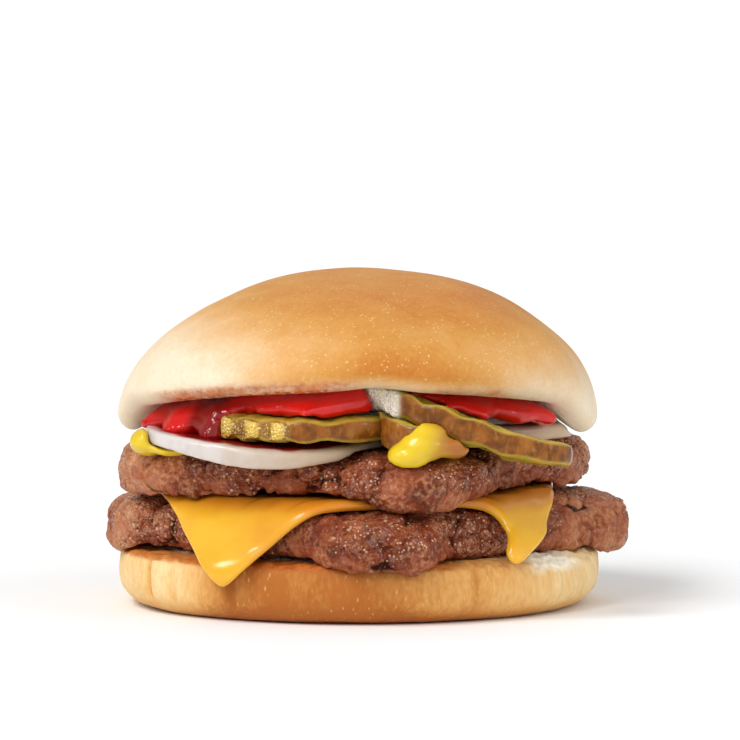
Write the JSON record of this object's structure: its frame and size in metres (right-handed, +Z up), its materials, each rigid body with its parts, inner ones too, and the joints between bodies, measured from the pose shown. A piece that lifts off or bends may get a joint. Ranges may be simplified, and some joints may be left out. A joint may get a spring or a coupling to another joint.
{
  "type": "double cheeseburger",
  "caption": "A double cheeseburger with a plain golden bun, square beef patties, melted cheese, raw onion, crinkle-cut pickle, ketchup and mustard.",
  "frame": {"origin": "On the table, under the middle of the burger's bounding box.", "axes": "+Z up through the layers, -Y towards the viewer, where the bun is propped open, +X to the viewer's right."},
  "size_m": [0.1092, 0.1098, 0.0694],
  "materials": {
    "crown_crust": "soft baked crust, satin, golden on top and pale at the rim",
    "heel_crust": "soft baked crust, matte, with pale crumb where it is cut",
    "melted_cheese": "melted, smooth and glossy",
    "seared_beef": "coarse seared ground beef, moist",
    "raw_onion": "wet and slightly see-through",
    "pickled_cucumber": "wet, olive skin and paler flesh",
    "yellow_mustard": "smooth and glossy",
    "tomato_ketchup": "smooth, wet and glossy"
  },
  "bodies": {
    "root": {"bun_crown": "crown_crust", "bun_heel": "heel_crust", "cheese_slice": "melted_cheese", "patty_lower": "seared_beef", "patty_upper": "seared_beef", "onion_left": "raw_onion", "onion_right": "raw_onion", "pickle_left": "pickled_cucumber", "pickle_right": "pickled_cucumber", "pickle_middle": "pickled_cucumber", "mustard_left": "yellow_mustard", "mustard_middle": "yellow_mustard", "ketchup": "tomato_ketchup"}
  },
  "joints": []
}
